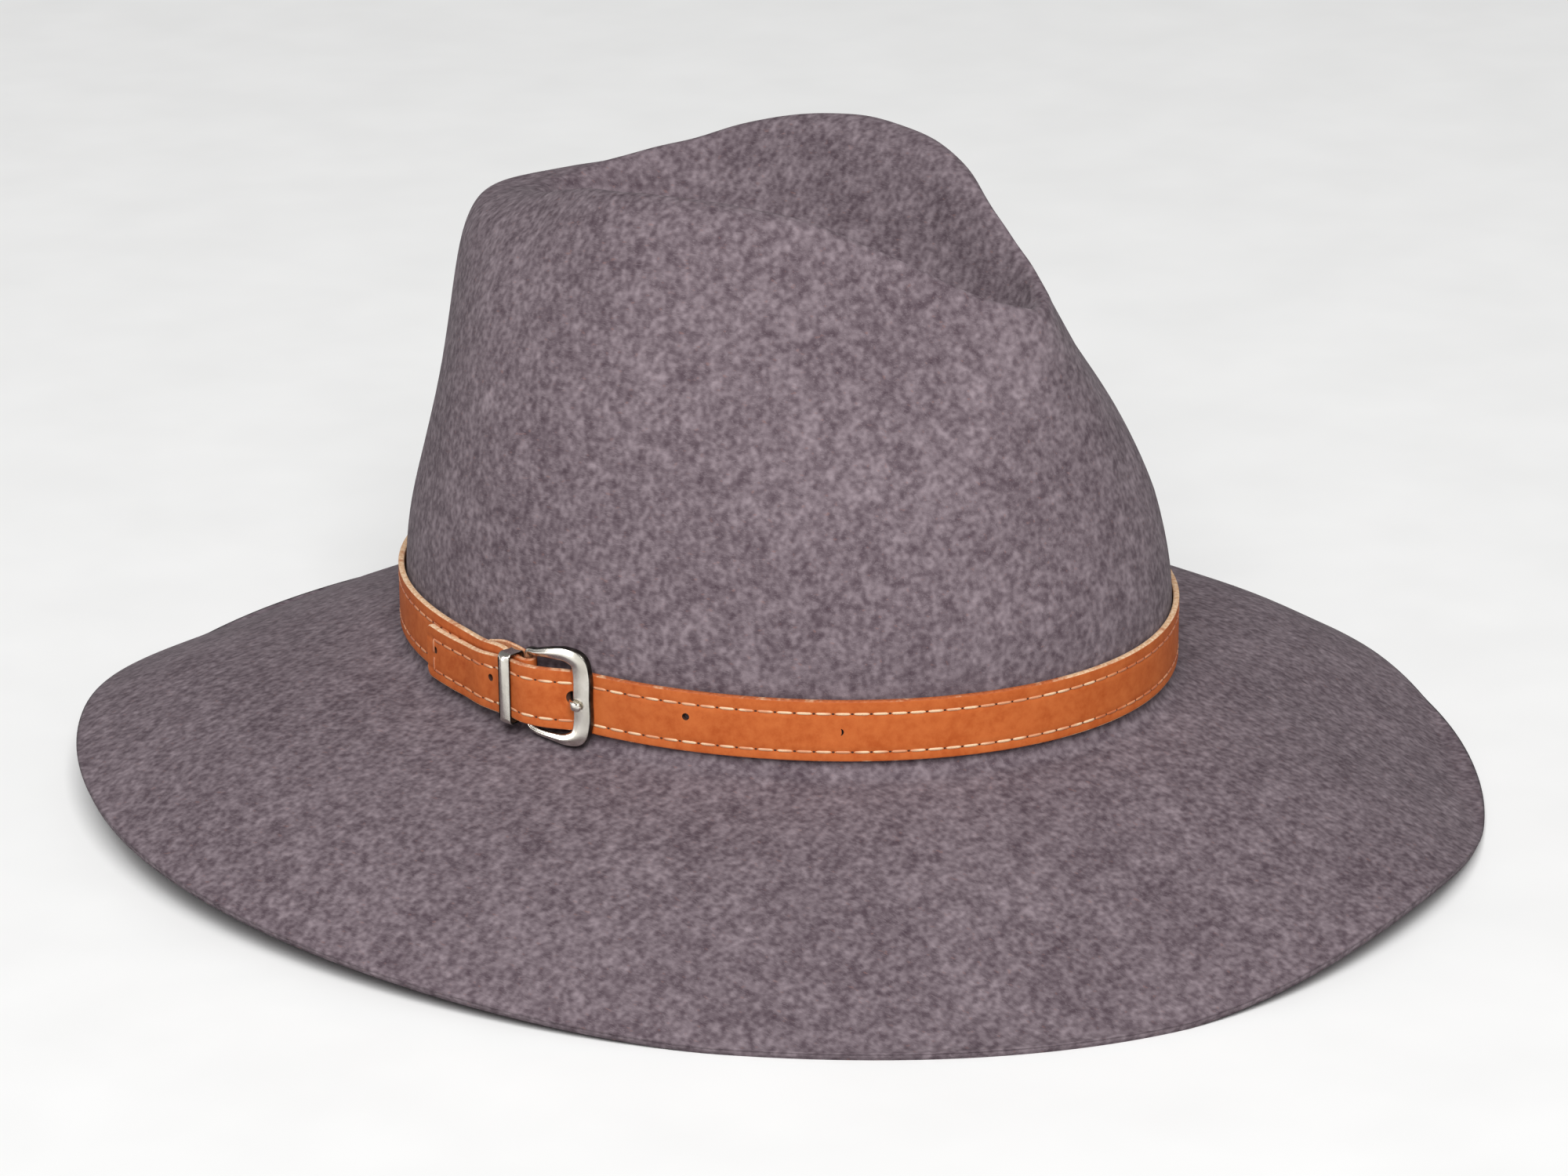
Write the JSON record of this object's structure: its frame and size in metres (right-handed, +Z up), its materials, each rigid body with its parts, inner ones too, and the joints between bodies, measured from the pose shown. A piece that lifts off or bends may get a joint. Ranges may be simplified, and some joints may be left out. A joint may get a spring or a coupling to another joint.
{
  "type": "rancher hat",
  "caption": "Felt rancher hat with a teardrop crown, a wide softly drooping brim and a stitched leather strap with a metal buckle round the crown's foot.",
  "frame": {"origin": "centre of the hat's bounding box seen from above, on the surface that the hat rests on", "axes": "+Z is up, out through the crown; the front of the hat points to -Y and the back to +Y; the wearer's left is +X and the side with the buckle is -X"},
  "size_m": [0.3384, 0.3654, 0.1606],
  "materials": {
    "felt": "heathered wool felt",
    "strap_leather": "matte",
    "nickel": "satin"
  },
  "bodies": {
    "root": {"felt_body": "felt", "band_strap": "strap_leather", "buckle_frame": "nickel", "buckle_prong": "nickel", "keeper_loop": "nickel"}
  },
  "joints": []
}
